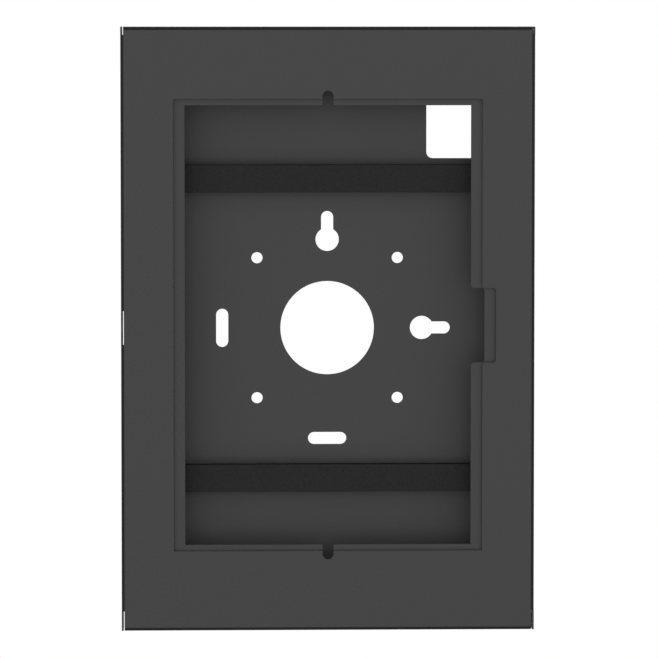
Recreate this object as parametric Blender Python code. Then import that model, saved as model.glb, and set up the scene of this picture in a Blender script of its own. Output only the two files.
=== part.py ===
"""Wall mount for a ten-inch tablet: a folded steel box and the cover that hooks over it.

The wall face lies at Y = 0 and the front looks along -Y. X runs to the right as seen from the
front and Z runs up. The origin is the middle of the four VESA holes, on the wall face.
"""
import math

import bmesh
import bpy

MM = 0.001
SEAT = 0.3 * MM              # air left between pieces that touch
PIERCE = 2.0 * MM            # how far a cutter runs past what it cuts
WELD = 0.001 * MM            # points nearer than this are one

# Steps round a full circle, and along the arcs
LARGE_STEPS = 96
ROUND_STEPS = 32
SMALL_STEPS = 24
HALF_STEPS = 16
BEND_STEPS = 8
CORNER_STEPS = 6
SMALL_CORNER_STEPS = 3
EDGE_SEGMENTS = 2
HEXAGON = 6
ACROSS_CORNERS = 1 / math.cos(math.pi / HEXAGON)
SHARP_ANGLE = math.radians(30)

# Looks: colour, roughness and metallic
COAT = ((0.05, 0.05, 0.052), 0.6, 0.0)
FOAM = ((0.02, 0.02, 0.021), 0.95, 0.0)
ZINC = ((0.55, 0.56, 0.58), 0.35, 1.0)
BLACK_STEEL = ((0.04, 0.04, 0.042), 0.4, 1.0)

# Tablet that the mount is made for, and the border that the mount leaves round it
TABLET_WIDTH = 162.0 * MM
TABLET_HEIGHT = 247.0 * MM
TABLET_RISE = 2.2 * MM       # its middle above the middle of the box
TABLET_PLAY = 0.5 * MM       # on each side
SIDE_BORDER = 29.0 * MM      # from the tablet's edge to the cover's outer face
END_BORDER = 37.25 * MM
OVERALL_DEPTH = 17.6 * MM

# Cover: one folded sheet
COVER_SHEET = 1.0 * MM
COVER_BEND = 0.8 * MM        # inner radius of its bends
COVER_TO_WALL = 1.0 * MM     # its flanges stop short of the wall
SLIT_WIDTH = 0.52 * MM       # relief slits along the side bends
SLIT_TOP = 4.2 * MM
SLIT_BOTTOM = 10.5 * MM
SLIT_LEFT_LOW = -7.8 * MM    # a third slit half way up the left bend
SLIT_LEFT_HIGH = 10.1 * MM
SLIT_TIP = 0.6 * MM          # the flange's tip stands back this far in a slit

# Box: one folded tray inside the cover
BOX_SHEET = 1.5 * MM
BOX_BEND = 1.0 * MM
BOX_TO_COVER = 1.0 * MM      # play between the box's walls and the cover's flanges
BOX_SLIT = 0.4 * MM
BOX_RELIEF = 4.0 * MM
WALL_RIM_PLAY = 0.5 * MM     # the walls stop short of the cover's face

# Mask plate and the windows
MASK_SHEET = 1.2 * MM
MASK_SIDE_CLEAR = 6.3 * MM   # from the box's walls
MASK_END_CLEAR = 8.85 * MM
MASK_CORNER = 4.0 * MM
LAP_SIDE = 5.0 * MM          # the mask laps over the tablet's edge
LAP_END = 6.55 * MM
STEP_SIDE = 6.05 * MM        # the cover's window is wider than the mask's
STEP_END = 3.3 * MM
NOTCH_HEIGHT = 39.5 * MM
NOTCH_DEPTH = 7.2 * MM
NOTCH_RADIUS = 1.5 * MM
SENSOR_WIDTH = 5.7 * MM      # round-ended notches at the middle of top and bottom
SENSOR_DEPTH = 7.85 * MM     # beyond the mask's window

# Studs and nuts that hold the mask
STUD_DIAMETER = 3.0 * MM
STUD_REACH = 5.0 * MM        # from the cover's inner face
STUD_SIDE_INSET = 6.0 * MM   # from the mask's edge
STUD_END_INSET = 14.0 * MM
MASK_HOLE = 4.0 * MM
NUT_FLATS = 5.5 * MM
NUT_HEIGHT = 2.4 * MM

# Holes in the back plate, measured from the middle of the VESA holes
VESA_PITCH = 75.0 * MM
VESA_HOLE = 6.0 * MM
CABLE_HOLE = 50.0 * MM
KEY_ROUND = 12.5 * MM
KEY_SLOT = 6.5 * MM
KEY_LENGTH = 21.4 * MM
KEY_TOP_Z = 47.3 * MM
KEY_RIGHT_X = 50.5 * MM
SLOT_LENGTH = 20.5 * MM
SLOT_LEFT_X = -56.1 * MM
SLOT_BOTTOM_Z = -59.2 * MM
CAMERA_WIDTH = 30.0 * MM     # window for the tablet's rear camera
CAMERA_HEIGHT = 33.0 * MM
CAMERA_BESIDE = 1.95 * MM    # past the tablet's right edge
CAMERA_BELOW = 2.1 * MM      # below the tablet's top edge
CAMERA_CORNER = 3.4 * MM

# Foam
STRIP_HEIGHT = 15.0 * MM
STRIP_THICKNESS = 6.5 * MM
STRIP_Z = 80.0 * MM
STRIP_INSET = 1.0 * MM       # the strips end just inside the tablet's edges
PAD_LENGTH = 44.0 * MM
PAD_SIDE_FREE = 78.0 * MM    # left free for a plug between the pads of a long edge
PAD_END_INSET = 7.0 * MM     # from the tablet's corners, along its short edges
SCREEN_STRIP_WIDTH = 3.6 * MM
SCREEN_STRIP_THICKNESS = 0.8 * MM
SCREEN_STRIP_INSET = 0.9 * MM
SCREEN_STRIP_CLEAR = 3.0 * MM   # from a notch's edge
FOAM_EDGE = 0.4 * MM

# Hooks at the top and screws at the bottom
HOOK_INSET = 20.0 * MM       # from the cover's sides
HOOK_WIDTH = 15.2 * MM
HOOK_PLAY = 0.4 * MM
HOOK_REACH = 4.6 * MM        # from the cover's outer face to the tab's tip
HOOK_WINDOW = 5.6 * MM       # along Y, in both sheets
HOOK_WINDOW_CORNER = 0.5 * MM
HOOK_ROOT = 0.1 * MM         # the tab's root lies this far below the flange's outer face
SCREW_INSET = 22.0 * MM      # from the cover's sides
SCREW_DIAMETER = 3.0 * MM
SCREW_LENGTH = 9.0 * MM
SCREW_HEAD = 5.6 * MM
SCREW_HEAD_HEIGHT = 1.3 * MM
SCREW_HEAD_LAND = 0.25 * MM
SCREW_TIP = 0.75 * MM        # its tip is chamfered by this much
SCREW_SOCKET = 2.0 * MM
SCREW_SOCKET_DEPTH = 0.9 * MM
PRESS_NUT_DIAMETER = 6.3 * MM
PRESS_NUT_HEIGHT = 3.0 * MM
PRESS_NUT_SPIGOT = 4.6 * MM

# Worked out from the above
COVER_WIDTH = TABLET_WIDTH + 2 * SIDE_BORDER
COVER_HEIGHT = TABLET_HEIGHT + 2 * END_BORDER
COVER_FACE_Y = -OVERALL_DEPTH
COVER_INNER_Y = COVER_FACE_Y + COVER_SHEET
MASK_FRONT_Y = COVER_INNER_Y + SEAT
MASK_BACK_Y = MASK_FRONT_Y + MASK_SHEET
PLATE_FRONT_Y = -BOX_SHEET
BOX_HALF_WIDTH = COVER_WIDTH / 2 - COVER_SHEET - BOX_TO_COVER
BOX_HALF_HEIGHT = COVER_HEIGHT / 2 - COVER_SHEET - BOX_TO_COVER
BOX_INNER_X = BOX_HALF_WIDTH - BOX_SHEET
BOX_INNER_Z = BOX_HALF_HEIGHT - BOX_SHEET
BOX_RIM_Y = COVER_INNER_Y + WALL_RIM_PLAY
MIDDLE_Y = -OVERALL_DEPTH / 2
MASK_HALF_WIDTH = BOX_INNER_X - MASK_SIDE_CLEAR
MASK_HALF_HEIGHT = BOX_INNER_Z - TABLET_RISE - MASK_END_CLEAR
WINDOW_HALF_WIDTH = TABLET_WIDTH / 2 - LAP_SIDE
WINDOW_HALF_HEIGHT = TABLET_HEIGHT / 2 - LAP_END
SENSOR_TIP = WINDOW_HALF_HEIGHT + SENSOR_DEPTH
HOOK_X = COVER_WIDTH / 2 - HOOK_INSET
SCREW_X = COVER_WIDTH / 2 - SCREW_INSET
HOOK_BACK_Y = MIDDLE_Y
HOOK_FRONT_Y = HOOK_BACK_Y - COVER_SHEET


def clear_scene():
    for item in list(bpy.data.objects):
        bpy.data.objects.remove(item, do_unlink=True)


def make_material(name, colour, roughness, metallic):
    material = bpy.data.materials.new(name)
    material.use_nodes = True
    shader = material.node_tree.nodes["Principled BSDF"]
    shader.inputs["Base Color"].default_value = (*colour, 1.0)
    shader.inputs["Roughness"].default_value = roughness
    shader.inputs["Metallic"].default_value = metallic
    material.diffuse_color = (*colour, 1.0)
    return material


def make_object(name, bm, material=None):
    """A named object from the mesh; without a material it is a hidden guide or cutter."""
    mesh = bpy.data.meshes.new(name)
    bm.to_mesh(mesh)
    bm.free()
    mesh.shade_smooth()
    mesh.set_sharp_from_angle(angle=SHARP_ANGLE)
    item = bpy.data.objects.new(name, mesh)
    bpy.context.scene.collection.objects.link(item)
    if material is None:
        item.hide_render = True
        item.display_type = "WIRE"
    else:
        mesh.materials.append(material)
    return item


def arc(centre, radius, start, end, steps):
    """Points on a circle from one angle to another, in degrees."""
    points = []
    for i in range(steps + 1):
        angle = math.radians(start + (end - start) * i / steps)
        points.append((centre[0] + radius * math.cos(angle), centre[1] + radius * math.sin(angle)))
    return points


def circle(centre, diameter, steps):
    return arc(centre, diameter / 2, 0, 360, steps)[:-1]


def rounded_box(left, right, low, high, radius, steps=CORNER_STEPS):
    return (
        arc((right - radius, low + radius), radius, -90, 0, steps)
        + arc((right - radius, high - radius), radius, 0, 90, steps)
        + arc((left + radius, high - radius), radius, 90, 180, steps)
        + arc((left + radius, low + radius), radius, 180, 270, steps)
    )


def slot_outline(centre, length, width, upright):
    """A slot with round ends."""
    reach = (length - width) / 2
    x, z = centre
    if upright:
        return (arc((x, z + reach), width / 2, 0, 180, HALF_STEPS)
                + arc((x, z - reach), width / 2, 180, 360, HALF_STEPS))
    return (arc((x + reach, z), width / 2, -90, 90, HALF_STEPS)
            + arc((x - reach, z), width / 2, 90, 270, HALF_STEPS))


def keyhole_outline(centre, heading):
    """A round hole that narrows into a slot along the heading, in degrees."""
    mouth = math.degrees(math.asin(KEY_SLOT / KEY_ROUND))
    reach = KEY_LENGTH - (KEY_ROUND + KEY_SLOT) / 2
    turn = math.radians(heading)
    tip = (centre[0] + reach * math.cos(turn), centre[1] + reach * math.sin(turn))
    return (arc(centre, KEY_ROUND / 2, heading + mouth, heading + 360 - mouth, ROUND_STEPS)
            + arc(tip, KEY_SLOT / 2, heading - 90, heading + 90, HALF_STEPS))


def window_outline(half_width, half_height):
    """The window with its notch at the right and the round-ended notches at top and bottom."""
    sensor = SENSOR_WIDTH / 2
    notch = NOTCH_HEIGHT / 2
    r = NOTCH_RADIUS
    depth = half_width + NOTCH_DEPTH
    points = [(-half_width, half_height), (-half_width, -half_height)]
    points += [(-sensor, -half_height)]
    points += arc((0, -SENSOR_TIP + sensor), sensor, 180, 360, HALF_STEPS)
    points += [(sensor, -half_height), (half_width, -half_height)]
    points += arc((half_width + r, -notch - r), r, 180, 90, CORNER_STEPS)
    points += arc((depth - r, -notch + r), r, -90, 0, CORNER_STEPS)
    points += arc((depth - r, notch - r), r, 0, 90, CORNER_STEPS)
    points += arc((half_width + r, notch + r), r, 270, 180, CORNER_STEPS)
    points += [(half_width, half_height), (sensor, half_height)]
    points += arc((0, SENSOR_TIP - sensor), sensor, 0, 180, HALF_STEPS)
    points += [(-sensor, half_height)]
    return [(x, z + TABLET_RISE) for x, z in points]


def add_prism(bm, outline, start, end, axis):
    """A closed prism on an outline, along X (outline in Y, Z), Y (in X, Z) or Z (in X, Y)."""
    place = {
        "X": lambda u, v, w: (w, u, v),
        "Y": lambda u, v, w: (u, w, v),
        "Z": lambda u, v, w: (u, v, w),
    }[axis]
    first = [bm.verts.new(place(u, v, start)) for u, v in outline]
    last = [bm.verts.new(place(u, v, end)) for u, v in outline]
    faces = [bm.faces.new(first), bm.faces.new(last)]
    for i in range(len(outline)):
        j = (i + 1) % len(outline)
        faces.append(bm.faces.new((first[i], first[j], last[j], last[i])))
    bmesh.ops.recalc_face_normals(bm, faces=faces)


def add_turned(bm, profile, centre, steps):
    """A solid turned about an upright axis; the profile is (radius, z) and ends on the axis."""
    rings = []
    for radius, z in profile:
        if radius == 0:
            rings.append([bm.verts.new((centre[0], centre[1], z))])
        else:
            rings.append([bm.verts.new((x, y, z)) for x, y in circle(centre, 2 * radius, steps)])
    faces = []
    for lower, upper in zip(rings, rings[1:]):
        for i in range(steps):
            j = (i + 1) % steps
            corners = [lower[i % len(lower)], lower[j % len(lower)],
                       upper[j % len(upper)], upper[i % len(upper)]]
            faces.append(bm.faces.new(list(dict.fromkeys(corners))))
    bmesh.ops.recalc_face_normals(bm, faces=faces)


def add_strip(bm, rails):
    """Quads between neighbouring rails, each a list of points."""
    rows = [[bm.verts.new(point) for point in rail] for rail in rails]
    for one, two in zip(rows, rows[1:]):
        for i in range(len(one) - 1):
            bm.faces.new((one[i], one[i + 1], two[i + 1], two[i]))


def pairs(values):
    return list(zip(values, values[1:]))


def folded_pan(name, size, face_y, toward, depth, sheet, bend, slit, ends, side_slits, material):
    """A sheet folded to a pan: a face and four flanges of one thickness.

    The side flanges run the full height and the end flanges fit between them. The side bends are
    cut by slits at both ends, and by more on the left if asked. The outer surface is laid out
    flat and round, and Solidify gives it the sheet's thickness inward.
    """
    half_width, half_height = size[0] / 2, size[1] / 2
    radius = bend + sheet
    face_x = half_width - radius
    face_z = half_height - radius
    lip_x = half_width - sheet - slit
    slit_low, slit_high = -half_height + ends[0], half_height - ends[1]
    heights = sorted({-face_z, slit_low, slit_high, face_z, *[z for pair in side_slits for z in pair]})
    curve = arc((0, 0), radius, -90, 0, BEND_STEPS)

    def at(x, d, z):
        return (x, face_y + toward * d, z)

    bm = bmesh.new()
    add_strip(bm, [[at(x, 0, z) for z in heights] for x in (-face_x, face_x)])
    for side in (-1, 1):
        slits = [(-face_z, slit_low), (slit_high, face_z)]
        if side < 0:
            slits += side_slits
        for low, high in pairs(heights):
            if (low, high) in slits:
                add_strip(bm, [[at(side * x, 0, z) for z in (low, high)] for x in (face_x, lip_x)])
                add_strip(bm, [[at(side * half_width, d, z) for z in (low, high)]
                               for d in (SLIT_TIP, radius)])
            else:
                add_strip(bm, [[at(side * (face_x + u), radius + v, z) for z in (low, high)]
                               for u, v in curve])
        add_strip(bm, [[at(side * half_width, d, z) for z in (-half_height, *heights, half_height)]
                       for d in (radius, depth)])
        for low, high in ((-half_height, -face_z), (face_z, half_height)):
            add_strip(bm, [[at(side * half_width, d, z) for z in (low, high)]
                           for d in (SLIT_TIP, radius)])
    widths = (-lip_x, -face_x, face_x, lip_x)
    for end in (-1, 1):
        rails = [[at(x, radius + v, end * (face_z + u)) for x in widths] for u, v in curve]
        add_strip(bm, rails + [[at(x, depth, end * half_height) for x in widths]])
    bmesh.ops.remove_doubles(bm, verts=bm.verts, dist=WELD)
    bmesh.ops.recalc_face_normals(bm, faces=bm.faces)
    plate = max(bm.faces, key=lambda face: face.calc_area())
    if plate.normal.y * toward > 0:
        bmesh.ops.reverse_faces(bm, faces=bm.faces)

    item = make_object(name, bm, material)
    thicken = item.modifiers.new("sheet", "SOLIDIFY")
    thicken.thickness = sheet
    thicken.offset = -1
    thicken.use_even_offset = True
    return item


def add_boolean(item, other, operation):
    step = item.modifiers.new(other.name, "BOOLEAN")
    step.operation = operation
    step.solver = "EXACT"
    step.object = other


def soft_block(name, low, high, material):
    """A block of foam with its edges just broken."""
    bm = bmesh.new()
    bmesh.ops.create_cube(bm, size=1.0)
    for vert in bm.verts:
        for axis in range(3):
            vert.co[axis] = low[axis] if vert.co[axis] < 0 else high[axis]
    item = make_object(name, bm, material)
    soften = item.modifiers.new("edge", "BEVEL")
    soften.width = FOAM_EDGE
    soften.segments = EDGE_SEGMENTS
    soften.limit_method = "NONE"
    return item


def stud_places():
    """Three studs down each side, the middle ones halfway between the notch and the lower pads."""
    x = MASK_HALF_WIDTH - STUD_SIDE_INSET
    z = MASK_HALF_HEIGHT - STUD_END_INSET
    below_notch = -(NOTCH_HEIGHT + PAD_SIDE_FREE) / 4
    return [(side * x, level + TABLET_RISE) for side in (-1, 1) for level in (z, below_notch, -z)]


def back_box(steel):
    box = folded_pan(
        "back_box", (2 * BOX_HALF_WIDTH, 2 * BOX_HALF_HEIGHT), 0.0, -1, -BOX_RIM_Y,
        BOX_SHEET, BOX_BEND, BOX_SLIT, (BOX_RELIEF, BOX_RELIEF), [], steel)
    bm = bmesh.new()
    half = VESA_PITCH / 2
    camera_right = TABLET_WIDTH / 2 + CAMERA_BESIDE
    camera_top = TABLET_RISE + TABLET_HEIGHT / 2 - CAMERA_BELOW
    outlines = [circle((0, 0), CABLE_HOLE, LARGE_STEPS)]
    outlines += [circle((x, z), VESA_HOLE, ROUND_STEPS) for x in (-half, half) for z in (-half, half)]
    outlines += [
        keyhole_outline((0, KEY_TOP_Z), 90),
        keyhole_outline((KEY_RIGHT_X, 0), 0),
        slot_outline((SLOT_LEFT_X, 0), SLOT_LENGTH, KEY_SLOT, True),
        slot_outline((0, SLOT_BOTTOM_Z), SLOT_LENGTH, KEY_SLOT, False),
        rounded_box(camera_right - CAMERA_WIDTH, camera_right,
                    camera_top - CAMERA_HEIGHT, camera_top, CAMERA_CORNER),
    ]
    for outline in outlines:
        add_prism(bm, outline, PLATE_FRONT_Y - PIERCE, PIERCE, "Y")
    hook_half = HOOK_WIDTH / 2 + HOOK_PLAY
    for x in (-HOOK_X, HOOK_X):
        window = rounded_box(x - hook_half, x + hook_half, HOOK_FRONT_Y - HOOK_PLAY,
                             HOOK_FRONT_Y - HOOK_PLAY + HOOK_WINDOW, HOOK_WINDOW_CORNER,
                             SMALL_CORNER_STEPS)
        add_prism(bm, window, BOX_INNER_Z - PIERCE, BOX_HALF_HEIGHT + BOX_TO_COVER / 2, "Z")
    for x in (-SCREW_X, SCREW_X):
        hole = circle((x, MIDDLE_Y), PRESS_NUT_SPIGOT + 2 * SEAT, ROUND_STEPS)
        add_prism(bm, hole, -BOX_HALF_HEIGHT - BOX_TO_COVER / 2, -BOX_INNER_Z + PIERCE, "Z")
    add_boolean(box, make_object("back_box_holes", bm), "DIFFERENCE")


def front_cover(steel):
    cover = folded_pan(
        "front_cover", (COVER_WIDTH, COVER_HEIGHT), COVER_FACE_Y, 1, OVERALL_DEPTH - COVER_TO_WALL,
        COVER_SHEET, COVER_BEND, SLIT_WIDTH, (SLIT_BOTTOM, SLIT_TOP),
        [(SLIT_LEFT_LOW, SLIT_LEFT_HIGH)], steel)

    bm = bmesh.new()
    window = window_outline(WINDOW_HALF_WIDTH + STEP_SIDE, WINDOW_HALF_HEIGHT + STEP_END)
    add_prism(bm, window, COVER_FACE_Y - PIERCE, COVER_INNER_Y + SEAT, "Y")
    flange_top = COVER_HEIGHT / 2
    hook_half = HOOK_WIDTH / 2 + HOOK_PLAY
    for x in (-HOOK_X, HOOK_X):
        opening = rounded_box(x - hook_half, x + hook_half, HOOK_FRONT_Y,
                              HOOK_FRONT_Y + HOOK_WINDOW, HOOK_WINDOW_CORNER,
                              SMALL_CORNER_STEPS)
        add_prism(bm, opening, flange_top - COVER_SHEET - BOX_TO_COVER / 2,
                  flange_top + PIERCE, "Z")
    for x in (-SCREW_X, SCREW_X):
        sink = [(0, -flange_top - PIERCE), (SCREW_HEAD / 2 + SEAT, -flange_top - PIERCE),
                (SCREW_HEAD / 2 + SEAT, -flange_top + SCREW_HEAD_LAND),
                (SCREW_DIAMETER / 2 + SEAT, -flange_top + SCREW_HEAD_HEIGHT),
                (0, -flange_top + SCREW_HEAD_HEIGHT)]
        add_turned(bm, sink, (x, MIDDLE_Y), ROUND_STEPS)
    add_boolean(cover, make_object("front_cover_holes", bm), "DIFFERENCE")

    bm = bmesh.new()
    for x, z in stud_places():
        add_prism(bm, circle((x, z), STUD_DIAMETER, SMALL_STEPS), COVER_INNER_Y - COVER_SHEET / 2,
                  COVER_INNER_Y + STUD_REACH, "Y")
    for x in (-HOOK_X, HOOK_X):
        add_prism(bm, hook_outline(flange_top), x - HOOK_WIDTH / 2, x + HOOK_WIDTH / 2, "X")
    add_boolean(cover, make_object("front_cover_studs_and_hooks", bm), "UNION")


def hook_outline(flange_top):
    """Side view of a tab that is cut from the top flange and bent down through the box's wall."""
    inner = COVER_BEND
    outer = COVER_BEND + COVER_SHEET
    top = flange_top - HOOK_ROOT
    centre = (HOOK_BACK_Y - outer, top - outer)
    tip = flange_top - HOOK_REACH
    return (
        [(HOOK_BACK_Y - outer - COVER_SHEET, top)]
        + arc(centre, outer, 90, 0, CORNER_STEPS)
        + [(HOOK_BACK_Y, tip), (HOOK_FRONT_Y, tip)]
        + arc(centre, inner + HOOK_ROOT, 0, 90, CORNER_STEPS)
        + [(HOOK_BACK_Y - outer - COVER_SHEET, top - COVER_SHEET + 2 * HOOK_ROOT)]
    )


def mask_plate(steel):
    bm = bmesh.new()
    outer = rounded_box(-MASK_HALF_WIDTH, MASK_HALF_WIDTH, TABLET_RISE - MASK_HALF_HEIGHT,
                        TABLET_RISE + MASK_HALF_HEIGHT, MASK_CORNER)
    add_prism(bm, outer, MASK_FRONT_Y, MASK_BACK_Y, "Y")
    mask = make_object("mask_plate", bm, steel)
    bm = bmesh.new()
    window = window_outline(WINDOW_HALF_WIDTH, WINDOW_HALF_HEIGHT)
    outlines = [window] + [circle(place, MASK_HOLE, SMALL_STEPS) for place in stud_places()]
    for outline in outlines:
        add_prism(bm, outline, MASK_FRONT_Y - PIERCE, MASK_BACK_Y + PIERCE, "Y")
    add_boolean(mask, make_object("mask_plate_holes", bm), "DIFFERENCE")


def mask_nuts(zinc):
    """Hexagon nuts on the studs, seated on the back of the mask."""
    seat = MASK_BACK_Y + SEAT
    for number, (x, z) in enumerate(stud_places(), start=1):
        bm = bmesh.new()
        add_prism(bm, circle((x, z), NUT_FLATS * ACROSS_CORNERS, HEXAGON), seat, seat + NUT_HEIGHT,
                  "Y")
        nut = make_object(f"mask_nut_{number}", bm, zinc)
        bm = bmesh.new()
        add_prism(bm, circle((x, z), STUD_DIAMETER + 2 * SEAT, SMALL_STEPS), seat - PIERCE,
                  seat + NUT_HEIGHT + PIERCE, "Y")
        add_boolean(nut, make_object(f"mask_nut_{number}_bore", bm), "DIFFERENCE")


def foam_strips(foam):
    """Two strips on the back plate that push the tablet forward."""
    half = TABLET_WIDTH / 2 - STRIP_INSET
    back = PLATE_FRONT_Y - SEAT
    for name, z in (("foam_strip_upper", STRIP_Z), ("foam_strip_lower", -STRIP_Z)):
        soft_block(name, (-half, back - STRIP_THICKNESS, z - STRIP_HEIGHT / 2),
                   (half, back, z + STRIP_HEIGHT / 2), foam)


def tablet_pads(foam):
    """Blocks on the back plate between the tablet's edges and the box's walls."""
    front = MASK_BACK_Y + SEAT
    back = PLATE_FRONT_Y - SEAT
    near_x = TABLET_WIDTH / 2 + TABLET_PLAY
    far_x = BOX_INNER_X - SEAT
    for side, sx in (("left", -1), ("right", 1)):
        for level, sz in (("upper", 1), ("lower", -1)):
            middle = TABLET_RISE + sz * (PAD_SIDE_FREE + PAD_LENGTH) / 2
            edges = sorted((sx * near_x, sx * far_x))
            soft_block(f"side_pad_{side}_{level}",
                       (edges[0], front, middle - PAD_LENGTH / 2),
                       (edges[1], back, middle + PAD_LENGTH / 2), foam)
            tablet_edge = TABLET_RISE + sz * (TABLET_HEIGHT / 2 + TABLET_PLAY)
            edges = sorted((tablet_edge, sz * (BOX_INNER_Z - SEAT)))
            middle = sx * (TABLET_WIDTH / 2 - PAD_END_INSET - PAD_LENGTH / 2)
            name = {"upper": "top_pad", "lower": "bottom_pad"}[level]
            soft_block(f"{name}_{side}",
                       (middle - PAD_LENGTH / 2, front, edges[0]),
                       (middle + PAD_LENGTH / 2, back, edges[1]), foam)


def screen_strips(foam):
    """Thin strips on the back of the mask, around its window and clear of its notches."""
    front = MASK_BACK_Y + SEAT
    back = front + SCREEN_STRIP_THICKNESS
    near_x = WINDOW_HALF_WIDTH + SCREEN_STRIP_INSET
    near_z = WINDOW_HALF_HEIGHT + SCREEN_STRIP_INSET
    far_x = near_x + SCREEN_STRIP_WIDTH
    far_z = near_z + SCREEN_STRIP_WIDTH
    beside_notch = NOTCH_HEIGHT / 2 + NOTCH_RADIUS + SCREEN_STRIP_CLEAR
    beside_sensor = SENSOR_WIDTH / 2 + SCREEN_STRIP_CLEAR
    end = near_x - SEAT
    strips = {
        "left": (-far_x, -near_x, -near_z, near_z),
        "right_upper": (near_x, far_x, beside_notch, near_z),
        "right_lower": (near_x, far_x, -near_z, -beside_notch),
        "top_left": (-end, -beside_sensor, near_z, far_z),
        "top_right": (beside_sensor, end, near_z, far_z),
        "bottom_left": (-end, -beside_sensor, -far_z, -near_z),
        "bottom_right": (beside_sensor, end, -far_z, -near_z),
    }
    for name, (left, right, low, high) in strips.items():
        bm = bmesh.new()
        outline = rounded_box(left, right, low + TABLET_RISE, high + TABLET_RISE, FOAM_EDGE,
                              SMALL_CORNER_STEPS)
        add_prism(bm, outline, front, back, "Y")
        make_object(f"screen_strip_{name}", bm, foam)


def cover_screws(steel, zinc):
    """Flush security screws in the lower flange and the nuts pressed into the box's wall."""
    bottom = -COVER_HEIGHT / 2
    r = SCREW_DIAMETER / 2
    wall_in = -BOX_INNER_Z
    wall_out = -BOX_HALF_HEIGHT
    for side, x in (("left", -SCREW_X), ("right", SCREW_X)):
        centre = (x, MIDDLE_Y)
        bm = bmesh.new()
        profile = [(0, bottom), (SCREW_HEAD / 2, bottom), (SCREW_HEAD / 2, bottom + SCREW_HEAD_LAND),
                   (r, bottom + SCREW_HEAD_HEIGHT), (r, bottom + SCREW_LENGTH - SCREW_TIP),
                   (r - SCREW_TIP, bottom + SCREW_LENGTH), (0, bottom + SCREW_LENGTH)]
        add_turned(bm, profile, centre, SMALL_STEPS)
        screw = make_object(f"cover_screw_{side}", bm, steel)
        bm = bmesh.new()
        add_prism(bm, circle(centre, SCREW_SOCKET * ACROSS_CORNERS, HEXAGON), bottom - PIERCE,
                  bottom + SCREW_SOCKET_DEPTH, "Z")
        add_boolean(screw, make_object(f"cover_screw_{side}_socket", bm), "DIFFERENCE")

        bm = bmesh.new()
        flange = wall_in + SEAT
        profile = [(0, wall_out), (PRESS_NUT_SPIGOT / 2, wall_out), (PRESS_NUT_SPIGOT / 2, flange),
                   (PRESS_NUT_DIAMETER / 2, flange),
                   (PRESS_NUT_DIAMETER / 2, flange + PRESS_NUT_HEIGHT),
                   (0, flange + PRESS_NUT_HEIGHT)]
        add_turned(bm, profile, centre, SMALL_STEPS)
        nut = make_object(f"press_nut_{side}", bm, zinc)
        bm = bmesh.new()
        add_prism(bm, circle(centre, SCREW_DIAMETER + 2 * SEAT, SMALL_STEPS), wall_out - PIERCE,
                  flange + PRESS_NUT_HEIGHT + PIERCE, "Z")
        add_boolean(nut, make_object(f"press_nut_{side}_bore", bm), "DIFFERENCE")


def main():
    clear_scene()
    coat = make_material("dark_powder_coat", *COAT)
    foam = make_material("black_foam", *FOAM)
    zinc = make_material("zinc_plate", *ZINC)
    black_steel = make_material("black_steel", *BLACK_STEEL)
    back_box(coat)
    front_cover(coat)
    mask_plate(coat)
    mask_nuts(zinc)
    foam_strips(foam)
    tablet_pads(foam)
    screen_strips(foam)
    cover_screws(black_steel, zinc)


main()
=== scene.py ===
import math

import bpy
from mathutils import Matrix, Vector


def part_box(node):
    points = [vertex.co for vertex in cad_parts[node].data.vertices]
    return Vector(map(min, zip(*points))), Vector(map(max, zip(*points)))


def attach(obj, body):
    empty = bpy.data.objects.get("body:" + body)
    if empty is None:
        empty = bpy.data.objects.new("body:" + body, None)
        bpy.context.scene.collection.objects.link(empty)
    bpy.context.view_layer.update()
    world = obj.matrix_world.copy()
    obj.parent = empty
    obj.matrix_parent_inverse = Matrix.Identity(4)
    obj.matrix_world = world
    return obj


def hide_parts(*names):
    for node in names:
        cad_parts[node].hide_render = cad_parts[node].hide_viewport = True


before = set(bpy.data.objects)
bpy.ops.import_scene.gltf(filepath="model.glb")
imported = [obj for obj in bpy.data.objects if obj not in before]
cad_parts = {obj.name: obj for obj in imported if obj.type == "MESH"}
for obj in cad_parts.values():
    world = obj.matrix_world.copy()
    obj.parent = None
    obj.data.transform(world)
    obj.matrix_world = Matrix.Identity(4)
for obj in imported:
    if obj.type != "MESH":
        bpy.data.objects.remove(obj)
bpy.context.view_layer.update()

mm = 0.001
weld = 0.0005 * mm       # points nearer than this become one
touching = 0.01 * mm     # a point nearer than this lies on a plane
overshoot = 1 * mm       # cutters reach this far past what they cut
scene = bpy.context.scene
scene.view_settings.view_transform = "Standard"


# Socket arithmetic for the materials

class Wire:
    # one output socket; sums on it add Math nodes
    def __init__(self, bench, socket):
        self.bench = bench
        self.socket = socket

    def maths(self, operation, first, second=0.0):
        return self.bench.add("ShaderNodeMath", {"operation": operation}, {0: first, 1: second})

    def __add__(self, other):
        return self.maths("ADD", self, other)

    def __radd__(self, other):
        return self.maths("ADD", other, self)

    def __sub__(self, other):
        return self.maths("SUBTRACT", self, other)

    def __rsub__(self, other):
        return self.maths("SUBTRACT", other, self)

    def __mul__(self, other):
        return self.maths("MULTIPLY", self, other)

    def __rmul__(self, other):
        return self.maths("MULTIPLY", other, self)

    def most(self, other):
        return self.maths("MAXIMUM", self, other)

    def size(self):
        return self.maths("ABSOLUTE", self)


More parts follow.
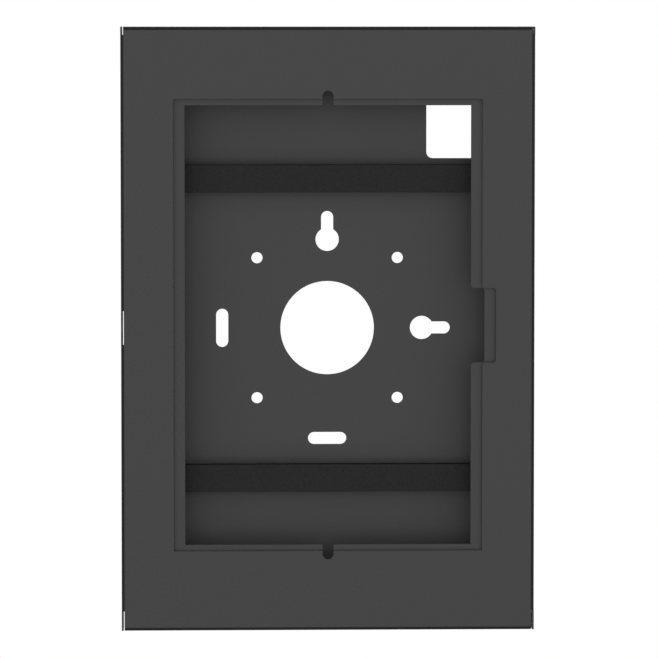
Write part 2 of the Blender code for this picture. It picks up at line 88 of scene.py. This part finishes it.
class Bench:
    # a node tree that is laid out from scratch
    def __init__(self, tree):
        self.tree = tree
        tree.nodes.clear()

    def add(self, kind, settings=None, sockets=None, output=0):
        node = self.tree.nodes.new(kind)
        for name, value in (settings or {}).items():
            setattr(node, name, value)
        for name, value in (sockets or {}).items():
            if isinstance(value, Wire):
                self.tree.links.new(value.socket, node.inputs[name])
            else:
                node.inputs[name].default_value = value
        return Wire(self, node.outputs[output]) if node.outputs else None

    def between(self, share, first, second):
        return self.add("ShaderNodeMix", {"data_type": "RGBA"}, {0: share, 6: first, 7: second}, 2)

    def noise(self, place, grain, detail=2.0):
        # grain is the size of one blotch in metres
        return self.add("ShaderNodeTexNoise", {}, {
            "Vector": place, "Scale": 1 / grain, "Detail": detail})

    def cells(self, place, grain):
        return self.add("ShaderNodeTexVoronoi", {}, {"Vector": place, "Scale": 1 / grain})

    def ramp(self, value, start, end, low=0.0, high=1.0):
        return self.add("ShaderNodeMapRange", {"interpolation_type": "SMOOTHSTEP"}, {
            "Value": value, "From Min": start, "From Max": end, "To Min": low, "To Max": high})

    def bump(self, height, depth, normal=None):
        sockets = {"Height": height, "Distance": depth, "Strength": 1.0}
        if normal:
            sockets["Normal"] = normal
        return self.add("ShaderNodeBump", {}, sockets)


def cosine(degrees):
    return math.cos(math.radians(degrees))


def neutral(level, warmth=0.0):
    return (level * (1 + warmth), level, level * (1 - warmth), 1)


# Studio: camera, world, lamps and floor

cameraLook = {
    "place": (-0.0825, -2.6939, 0.1854),
    "down": 3.952,
    "right": 1.776,
    "lens": 276.3,
    "sensor": 36.0,
    "near": 0.05,
    "far": 100,
}

studioLook = {
    "sides": 1.35,
    "front": 1.2,
    "frontInner": 60,
    "frontOuter": 88,
    "back": 1.4,
    "backInner": 40,
    "backOuter": 80,
    "overhead": 0.6,
    "overheadFrom": 45,
    "beneath": 1.2,
    "beneathFrom": 20,
    "floorHeight": -0.9,
    "floorReach": 1.35,
    "floorColour": 0.78,
    "floorDim": 0.98,
    "floorBlotch": 0.4,
    "floorFadeStart": 0.6,
    "floorFadeEnd": 1.3,
    "lamps": {
        "above": {"place": (0.4, -0.8, 1.7), "side": 1.4, "power": 1.0},
    },
}


def setCamera():
    data = bpy.data.cameras.new("camera")
    data.lens = cameraLook["lens"]
    data.sensor_width = cameraLook["sensor"]
    data.clip_start = cameraLook["near"]
    data.clip_end = cameraLook["far"]
    camera = bpy.data.objects.new("camera", data)
    scene.collection.objects.link(camera)
    camera.location = cameraLook["place"]
    tilt = math.radians(90 - cameraLook["down"])
    camera.rotation_euler = (tilt, 0, math.radians(-cameraLook["right"]))
    scene.camera = camera


def setWorld():
    world = bpy.data.worlds.new("studio")
    world.use_nodes = True
    bench = Bench(world.node_tree)
    # a soft tent, nearly even all round, dimmer overhead and brighter below the horizon
    heading = bench.add("ShaderNodeTexCoord", output="Generated")
    deep = bench.add("ShaderNodeSeparateXYZ", {}, {"Vector": heading}, "Y")
    high = bench.add("ShaderNodeSeparateXYZ", {}, {"Vector": heading}, "Z")
    sides = studioLook["sides"]
    front = bench.ramp(
        deep * -1, cosine(studioLook["frontOuter"]), cosine(studioLook["frontInner"]),
        0, studioLook["front"] - sides)
    back = bench.ramp(
        deep, cosine(studioLook["backOuter"]), cosine(studioLook["backInner"]),
        0, studioLook["back"] - sides)
    top, bottom = cosine(90 - studioLook["overheadFrom"]), -cosine(90 - studioLook["beneathFrom"])
    overhead = bench.ramp(high, 0, top, 1, studioLook["overhead"])
    beneath = bench.ramp(high, 0, bottom, 1, studioLook["beneath"])
    tent = (front + back + sides) * overhead * beneath
    seen = bench.add("ShaderNodeLightPath", output="Is Camera Ray")
    through = bench.add("ShaderNodeLightPath", output="Is Transmission Ray")
    shown = seen.most(through)
    strength = shown + (1 - shown) * tent
    light = bench.add("ShaderNodeBackground", {}, {"Color": neutral(1.0), "Strength": strength})
    bench.add("ShaderNodeOutputWorld", {}, {"Surface": light})
    scene.world = world


def setLamps():
    for name, look in studioLook["lamps"].items():
        data = bpy.data.lights.new(name, "AREA")
        data.shape = "SQUARE"
        data.size = look["side"]
        data.energy = look["power"]
        lamp = bpy.data.objects.new(name, data)
        scene.collection.objects.link(lamp)
        lamp.location = look["place"]
        lamp.rotation_euler = (-lamp.location).to_track_quat("-Z", "Y").to_euler()
        lamp.visible_camera = False


def setFloor():
    bpy.ops.mesh.primitive_plane_add(
        size=2 * studioLook["floorReach"], location=(0, 0, studioLook["floorHeight"]))
    floor = bpy.context.active_object
    floor.name = "floor"
    settle(floor)
    material = bpy.data.materials.new("pale floor")
    material.use_nodes = True
    bench = Bench(material.node_tree)
    place = bench.add("ShaderNodeTexCoord", output="Object")
    tone = bench.noise(place, studioLook["floorBlotch"])
    colour = studioLook["floorColour"]
    paint = bench.between(tone, neutral(colour), neutral(colour * studioLook["floorDim"]))
    surface = bench.add("ShaderNodeBsdfDiffuse", {}, {"Color": paint})
    # far from the object the floor runs out into the white of the backdrop
    distance = bench.add("ShaderNodeVectorMath", {"operation": "LENGTH"}, {0: place}, "Value")
    far = bench.ramp(distance, studioLook["floorFadeStart"], studioLook["floorFadeEnd"])
    seen = bench.add("ShaderNodeLightPath", output="Is Camera Ray")
    mirrored = bench.add("ShaderNodeLightPath", output="Is Glossy Ray")
    through = bench.add("ShaderNodeLightPath", output="Is Transmission Ray")
    white = bench.add("ShaderNodeEmission", {}, {"Color": neutral(1.0), "Strength": 1.0})
    both = bench.add("ShaderNodeMixShader", {}, {
        0: far * seen.most(mirrored).most(through), 1: surface, 2: white})
    bench.add("ShaderNodeOutputMaterial", {}, {"Surface": both})
    floor.data.materials.append(material)


# Mesh work by hand, in steps

def deselectAll():
    bpy.ops.object.select_all(action="DESELECT")


def work(piece):
    deselectAll()
    piece.select_set(True)
    bpy.context.view_layer.objects.active = piece


def settle(piece):
    # its place goes into its mesh
    work(piece)
    bpy.ops.object.transform_apply(location=True, rotation=True, scale=True)


def editEdges(piece, chosen):
    # opens the piece with the edges selected that pass the test
    work(piece)
    bpy.ops.object.mode_set(mode="EDIT")
    bpy.ops.mesh.select_mode(type="EDGE")
    bpy.ops.mesh.select_all(action="DESELECT")
    bpy.ops.object.mode_set(mode="OBJECT")
    for edge in piece.data.edges:
        edge.select = chosen(edge)
    bpy.ops.object.mode_set(mode="EDIT")


def done():
    bpy.ops.object.mode_set(mode="OBJECT")


def apply(piece, modifier):
    work(piece)
    bpy.ops.object.modifier_apply(modifier=modifier.name)


def smooth(piece, angle=30):
    work(piece)
    bpy.ops.object.shade_smooth_by_angle(angle=math.radians(angle))


def ends(piece, edge):
    return [piece.data.vertices[i].co for i in edge.vertices]


def dress(piece, material, node):
    piece.data.materials.clear()
    piece.data.materials.append(material)
    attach(piece, "root")
    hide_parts(node)


# Powder coat on folded steel

coatLook = {
    "colour": 0.0581,
    "speckle": 0.12,
    # painted shade round the bends: there the colour is this share of the coat's, between these
    # tilts
    "bendPaintedShade": 0.3,
    "bendFrom": 1.5,
    "bendTo": 10,
    "bendFade": 60,
    "bendEnd": 80,
    "shine": 0.03,
    "roughness": 0.42,
    "roughnessSpread": 0.06,
    "cloudSize": 60 * mm,
    "peelSize": 0.7 * mm,
    "peelDepth": 0.03 * mm,
    "sandSize": 0.35 * mm,
    "sandDepth": 0.035 * mm,
    "sandDetail": 1.0,
}


def powderCoat():
    material = bpy.data.materials.new("dark powder coat")
    material.use_nodes = True
    bench = Bench(material.node_tree)
    place = bench.add("ShaderNodeTexCoord", output="Object")
    sand = bench.noise(place, coatLook["sandSize"], coatLook["sandDetail"])
    peel = bench.noise(place, coatLook["peelSize"])
    cloud = bench.noise(place, coatLook["cloudSize"])
    level = coatLook["colour"]
    spread = coatLook["speckle"]
    flat = bench.between(sand, neutral(level * (1 - spread)), neutral(level * (1 + spread)))
    # painted shade: the colour darkens on the bends, where the sheet turns away from the front, and
    # stays the plain coat on the flats beside it
    facing = bench.add("ShaderNodeTexCoord", output="Normal")
    across = bench.add("ShaderNodeSeparateXYZ", {}, {"Vector": facing}, "Y").size()
    onto = bench.ramp(across, cosine(coatLook["bendFrom"]), cosine(coatLook["bendTo"]))
    off = bench.ramp(across, cosine(coatLook["bendEnd"]), cosine(coatLook["bendFade"]))
    colour = bench.between(onto * off, flat, neutral(level * coatLook["bendPaintedShade"]))
    roughness = coatLook["roughness"] + (cloud - 0.5) * coatLook["roughnessSpread"]
    peeled = bench.bump(peel, coatLook["peelDepth"])
    sanded = bench.bump(sand, coatLook["sandDepth"], peeled)
    shader = bench.add("ShaderNodeBsdfPrincipled", {}, {
        "Base Color": colour, "Roughness": roughness, "Normal": sanded,
        "Specular IOR Level": coatLook["shine"]})
    bench.add("ShaderNodeOutputMaterial", {}, {"Surface": shader})
    return material


# Foam

foamLook = {
    "colour": 0.0212,
    "speckle": 0.35,
    "cell": 0.55 * mm,
    "cellDepth": 0.12 * mm,
    # painted shade on the sides of a strip: their colour is this share of the face's, between these
    # tilts
    "paintedSideShade": 0.3,
    "shadeFrom": 35,
    "shadeFull": 70,
    "cloudSize": 9 * mm,
    "roughness": 0.95,
    "roughnessSpread": 0.06,
    "shine": 0.08,
}


def blackFoam():
    material = bpy.data.materials.new("black foam")
    material.use_nodes = True
    bench = Bench(material.node_tree)
    place = bench.add("ShaderNodeTexCoord", output="Object")
    cell = bench.cells(place, foamLook["cell"])
    cloud = bench.noise(place, foamLook["cloudSize"])
    level = foamLook["colour"]
    spread = foamLook["speckle"]
    skin = bench.between(cell, neutral(level * (1 + spread)), neutral(level * (1 - spread)))
    # painted shade: the sides of a strip, which lie in shade in the bay, are darkened; its face
    # keeps the foam's own colour
    facing = bench.add("ShaderNodeTexCoord", output="Normal")
    across = bench.add("ShaderNodeSeparateXYZ", {}, {"Vector": facing}, "Y").size()
    sides = bench.ramp(across, cosine(foamLook["shadeFull"]), cosine(foamLook["shadeFrom"]))
    colour = bench.between(sides, neutral(level * foamLook["paintedSideShade"]), skin)
    roughness = foamLook["roughness"] + (cloud - 0.5) * foamLook["roughnessSpread"]
    pitted = bench.bump(cell, -foamLook["cellDepth"])
    shader = bench.add("ShaderNodeBsdfPrincipled", {}, {
        "Base Color": colour, "Roughness": roughness, "Normal": pitted,
        "Specular IOR Level": foamLook["shine"]})
    bench.add("ShaderNodeOutputMaterial", {}, {"Surface": shader})
    return material


# Bright zinc and blackened steel for the small fasteners

zincLook = {"colour": 0.56, "roughness": 0.3, "grain": 0.5 * mm, "depth": 0.01 * mm}
blackSteelLook = {"colour": 0.05, "roughness": 0.38, "grain": 0.3 * mm, "depth": 0.008 * mm}
stainLook = {
    "size": 2.5 * mm,
    "detail": 3.0,
    "dark": 0.88,
    "darkWarmth": 0.01,
    "pale": 1.1,
    "paleWarmth": -0.012,
    "roughnessSpread": 0.16,
}


def platedSteel(name, look):
    material = bpy.data.materials.new(name)
    material.use_nodes = True
    bench = Bench(material.node_tree)
    place = bench.add("ShaderNodeTexCoord", output="Object")
    stain = bench.noise(place, stainLook["size"], stainLook["detail"])
    grain = bench.noise(place, look["grain"])
    dark = neutral(look["colour"] * stainLook["dark"], stainLook["darkWarmth"])
    pale = neutral(look["colour"] * stainLook["pale"], stainLook["paleWarmth"])
    colour = bench.between(stain, dark, pale)
    roughness = look["roughness"] + (stain - 0.5) * stainLook["roughnessSpread"]
    shader = bench.add("ShaderNodeBsdfPrincipled", {}, {
        "Base Color": colour, "Roughness": roughness, "Metallic": 1.0,
        "Normal": bench.bump(grain, look["depth"])})
    bench.add("ShaderNodeOutputMaterial", {}, {"Surface": shader})
    return material


# Folded sheets: a copy of each, with the soft edges that the coat leaves

# the edge crosses itself a little at the roots of the hooks, and more where it is wider; an
# edge of 0.32 mm closed a hole of the plate
sheetLook = {"edge": 0.1 * mm, "edgeSteps": 2, "edgeAngle": 32, "flat": 0.4}


def coatedSheet(name, node, material):
    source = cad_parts[node]
    piece = bpy.data.objects.new(name, source.data.copy())
    scene.collection.objects.link(piece)
    work(piece)
    bpy.ops.object.mode_set(mode="EDIT")
    bpy.ops.mesh.select_all(action="SELECT")
    bpy.ops.mesh.remove_doubles(threshold=weld)
    bpy.ops.mesh.dissolve_limited(angle_limit=math.radians(sheetLook["flat"]))
    done()
    bevel = piece.modifiers.new("edge", "BEVEL")
    bevel.width = sheetLook["edge"]
    bevel.segments = sheetLook["edgeSteps"]
    bevel.limit_method = "ANGLE"
    bevel.angle_limit = math.radians(sheetLook["edgeAngle"])
    bevel.use_clamp_overlap = False
    bevel.harden_normals = True
    smooth(piece)
    apply(piece, bevel)
    dress(piece, material, node)


# Foam strips, pads and screen strips; on a thin one the shares of its thickness count

foamCut = {
    "facet": 2.8 * mm,
    "edge": 0.5 * mm,
    "edgeShare": 0.3,
    "edgeSteps": 3,
    "wave": 0.35 * mm,
    "waveShare": 0.2,
    "waveSize": 9 * mm,
    "smoothAngle": 60,
}


def foamPiece(name, node, material):
    low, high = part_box(node)
    size = high - low
    bpy.ops.mesh.primitive_cube_add(size=1, location=(low + high) / 2, scale=size)
    piece = bpy.context.active_object
    piece.name = name
    settle(piece)
    for axis in range(3):
        def along(edge):
            one, two = ends(piece, edge)
            return abs(one[axis] - two[axis]) > size[axis] / 2
        # a side thinner than one facet stays whole, so that its rounded edges don't cross
        cuts = int(size[axis] / foamCut["facet"])
        if cuts:
            editEdges(piece, along)
            bpy.ops.mesh.subdivide(number_cuts=cuts)
            done()

    def corner(edge):
        one, two = ends(piece, edge)
        sides = 0
        for axis in range(3):
            for wall in (low, high):
                if max(abs(one[axis] - wall[axis]), abs(two[axis] - wall[axis])) < touching:
                    sides += 1
        return sides > 1

    editEdges(piece, corner)
    edge = min(foamCut["edge"], foamCut["edgeShare"] * min(size))
    bpy.ops.mesh.bevel(
        offset=edge, segments=foamCut["edgeSteps"], affect="EDGES", clamp_overlap=True)
    done()
    texture = bpy.data.textures.new(name, "CLOUDS")
    texture.noise_scale = foamCut["waveSize"]
    wave = piece.modifiers.new("wave", "DISPLACE")
    wave.texture = texture
    wave.texture_coords = "LOCAL"
    wave.strength = min(foamCut["wave"], foamCut["waveShare"] * min(size))
    wave.mid_level = 1.0
    apply(piece, wave)
    smooth(piece, foamCut["smoothAngle"])
    dress(piece, material, node)


# Screws and nuts: one of each is made round the Z axis at the origin, then copied to its nodes

def turned(name, profile, steps, ring=False):
    # circles drawn on one from another; a ring comes back to its first circle
    (radius, height), rest = profile[0], profile[1:]
    deselectAll()
    bpy.ops.mesh.primitive_circle_add(vertices=steps, radius=radius, location=(0, 0, height))
    piece = bpy.context.active_object
    piece.name = name
    settle(piece)
    bpy.ops.object.mode_set(mode="EDIT")
    bpy.ops.mesh.select_all(action="SELECT")
    for wide, level in rest + (profile[:1] if ring else []):
        bpy.ops.mesh.extrude_edges_move(TRANSFORM_OT_translate={"value": (0, 0, level - height)})
        bpy.ops.transform.resize(
            value=(wide / radius, wide / radius, 1), center_override=(0, 0, level))
        radius, height = wide, level
    bpy.ops.mesh.select_all(action="SELECT")
    bpy.ops.mesh.remove_doubles(threshold=weld)
    if not ring:
        bpy.ops.mesh.fill_holes(sides=steps)
    bpy.ops.mesh.normals_make_consistent(inside=False)
    done()
    return piece


def hexagon(flats, low, high):
    # a bar with flats this far apart, as a tool for the cuts
    radius = flats / 2 / cosine(30)
    bpy.ops.mesh.primitive_cylinder_add(
        vertices=6, radius=radius, depth=high - low, location=(0, 0, (low + high) / 2),
        rotation=(0, 0, math.radians(90)))
    bar = bpy.context.active_object
    settle(bar)
    return bar


def cutWith(piece, tool, operation):
    cut = piece.modifiers.new("cut", "BOOLEAN")
    cut.object = tool
    cut.operation = operation
    cut.solver = "EXACT"
    apply(piece, cut)
    bpy.data.objects.remove(tool)


# where on each turn the crest begins and ends and the root begins, as shares of the pitch
threadLook = {"crestFrom": 0.35, "crestTo": 0.5, "rootFrom": 0.85}


def threads(look, low, high, crest, root):
    # crests and roots from one height to another, either way
    turns = int(abs(high - low) / look["pitch"])
    step = (high - low) / turns
    rings = []
    for turn in range(turns):
        start = low + turn * step
        rings += [(root, start), (crest, start + threadLook["crestFrom"] * step),
                  (crest, start + threadLook["crestTo"] * step),
                  (root, start + threadLook["rootFrom"] * step)]
    return rings + [(root, high)]


def copyTo(model, name, node, material, turn=(0, 0, 0)):
    low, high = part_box(node)
    piece = bpy.data.objects.new(name, model.data.copy())
    scene.collection.objects.link(piece)
    piece.rotation_euler = turn
    piece.location = (low + high) / 2
    settle(piece)
    smooth(piece)
    dress(piece, material, node)


screwLook = {
    "head": 5.6 * mm,
    "rim": 0.1 * mm,
    "land": 0.25 * mm,
    "headHeight": 1.3 * mm,
    "shank": 3.0 * mm,
    "root": 2.5 * mm,
    "pitch": 0.5 * mm,
    "plainTurns": 1.5,
    "length": 9.0 * mm,
    "tip": 0.75 * mm,
    "socket": 2.0 * mm,
    "socketReach": 0.7,
    "socketDepth": 0.9 * mm,
    "socketEdge": 0.07 * mm,
    "socketEdgeSteps": 2,
    "steps": 64,
}


def screwModel():
    # its head is below and flush, its middle at the origin
    look = screwLook
    base = -look["length"] / 2
    head, shank, root = look["head"] / 2, look["shank"] / 2, look["root"] / 2
    neck = base + look["headHeight"]
    tip = -base - look["tip"]
    profile = [(head - look["rim"], base), (head, base + look["rim"]), (head, base + look["land"]),
               (shank, neck), (shank, neck + look["pitch"])]
    profile += threads(look, neck + look["plainTurns"] * look["pitch"], tip, shank, root)
    profile += [(shank - look["tip"], -base)]
    screw = turned("screw model", profile, look["steps"])
    bar = hexagon(look["socket"], base - overshoot, base + look["socketDepth"])
    cutWith(screw, bar, "DIFFERENCE")

    def mouth(edge):
        one, two = ends(screw, edge)
        near = max(one.xy.length, two.xy.length) < look["socketReach"] * look["socket"]
        return near and max(abs(one.z - base), abs(two.z - base)) < touching

    editEdges(screw, mouth)
    bpy.ops.mesh.bevel(
        offset=look["socketEdge"], segments=look["socketEdgeSteps"], affect="EDGES")
    done()
    return screw


nutLook = {
    "flats": 5.5 * mm,
    "height": 2.4 * mm,
    "face": 5.1 * mm,
    "corner": 0.42 * mm,
    "pastCorners": 0.05 * mm,
    "mouth": 0.05 * mm,
    "mouthDepth": 0.2 * mm,
    "crest": 3.06 * mm,
    "root": 3.5 * mm,
    "pitch": 0.5 * mm,
    "steps": 62,
}


def nutModel():
    # a ring with sloped shoulders, cut down to six flats; with 62 steps no corner of the
    # hexagon falls on a point of the ring, which would leave slivers there
    look = nutLook
    half, corner, depth = look["height"] / 2, look["corner"], look["mouthDepth"]
    face, crest, root = look["face"] / 2, look["crest"] / 2, look["root"] / 2
    outside = look["flats"] / 2 / cosine(30) + look["pastCorners"]
    mouth = root + look["mouth"]
    profile = [(face, -half), (outside, corner - half), (outside, half - corner), (face, half)]
    profile += [(mouth, half)] + threads(look, half - depth, depth - half, crest, root)
    profile += [(mouth, -half)]
    nut = turned("nut model", profile, look["steps"], ring=True)
    cutWith(nut, hexagon(look["flats"], -half - overshoot, half + overshoot), "INTERSECT")
    return nut


pressNutLook = {
    "spigot": 4.6 * mm,
    "spigotHeight": 1.8 * mm,
    "waist": 4.3 * mm,
    "body": 6.3 * mm,
    "height": 4.8 * mm,
    "edge": 0.2 * mm,
    "crest": 3.06 * mm,
    "root": 3.5 * mm,
    "pitch": 0.5 * mm,
    "toothDepth": 0.95,
    "steps": 64,
}


def pressNutModel():
    # a spigot with teeth and a waist for the sheet, and a round body on the sheet
    look = pressNutLook
    half = look["height"] / 2
    sheet = look["spigotHeight"] - half
    spigot, waist, body = look["spigot"] / 2, look["waist"] / 2, look["body"] / 2
    crest, root, edge = look["crest"] / 2, look["root"] / 2, look["edge"]
    profile = [(root + edge, -half), (spigot - edge / 2, -half), (spigot, edge - half),
               (spigot, sheet - 3 * edge), (waist, sheet - 2 * edge), (waist, sheet),
               (body - edge, sheet), (body, sheet + edge), (body, half - edge), (body - edge, half),
               (root + edge, half)]
    profile += threads(look, half - edge, edge - half, crest, root)
    nut = turned("press nut model", profile, look["steps"], ring=True)

    def tooth(edge):
        one, two = ends(nut, edge)
        outside = max(abs(one.xy.length - spigot), abs(two.xy.length - spigot)) < touching
        upright = abs(one.z - two.z) > look["edge"]
        turn = math.atan2(one.y, one.x) / math.tau * look["steps"]
        return outside and upright and round(turn) % 2 == 0

    editEdges(nut, tooth)
    depth = look["toothDepth"]
    bpy.ops.transform.resize(value=(depth, depth, 1), center_override=(0, 0, 0))
    done()
    return nut


setCamera()
setWorld()
setLamps()
setFloor()
print("studio ready")

coat = powderCoat()
foam = blackFoam()
zinc = platedSteel("bright zinc", zincLook)
blackSteel = platedSteel("blackened steel", blackSteelLook)

for node in ("front_cover", "back_box", "mask_plate"):
    coatedSheet("coated_" + node, node, coat)
print("folded sheets ready")

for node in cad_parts:
    if "_pad_" in node or node.startswith(("foam_strip", "screen_strip")):
        foamPiece("cut_" + node, node, foam)
print("foam ready")

screw, nut, pressNut = screwModel(), nutModel(), pressNutModel()
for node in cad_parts:
    if node.startswith("cover_screw"):
        copyTo(screw, "turned_" + node, node, blackSteel)
    elif node.startswith("mask_nut"):
        copyTo(nut, "turned_" + node, node, zinc, (math.radians(90), 0, 0))
    elif node.startswith("press_nut"):
        copyTo(pressNut, "turned_" + node, node, zinc)
for model in (screw, nut, pressNut):
    bpy.data.objects.remove(model)
print("screws and nuts ready")
